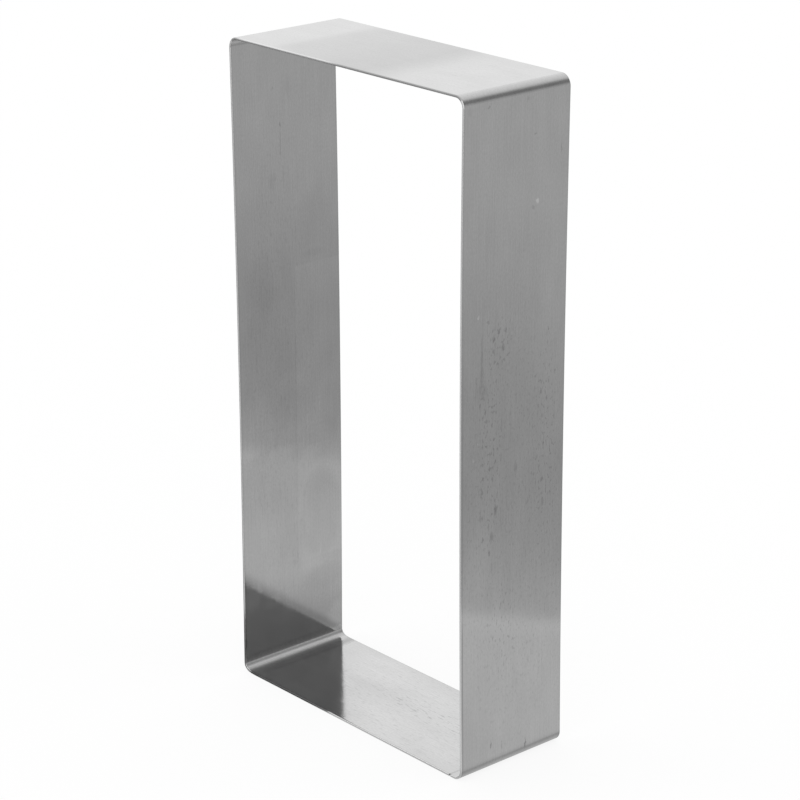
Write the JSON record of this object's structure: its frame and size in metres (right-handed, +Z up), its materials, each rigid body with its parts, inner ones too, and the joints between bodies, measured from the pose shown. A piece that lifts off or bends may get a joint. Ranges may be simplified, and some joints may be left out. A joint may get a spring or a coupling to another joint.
{
  "type": "rectangular mousse ring",
  "caption": "Open rectangular ring of thin brushed steel strip with tight round bends, for moulding and cutting mousse, cake or dough.",
  "frame": {"origin": "middle of the outside of the short wall that the ring stands on", "axes": "+Z up the long side, X across the short side, Y along the opening, from rim to rim"},
  "size_m": [0.115, 0.045, 0.23],
  "materials": {
    "strip": "fine brushed grain along the strip, satin, with light handling marks",
    "weld": "fused bead, ground flush outside, slightly duller than the strip"
  },
  "bodies": {
    "root": {"formed_band": "strip", "weld_seam": "weld"}
  },
  "joints": []
}
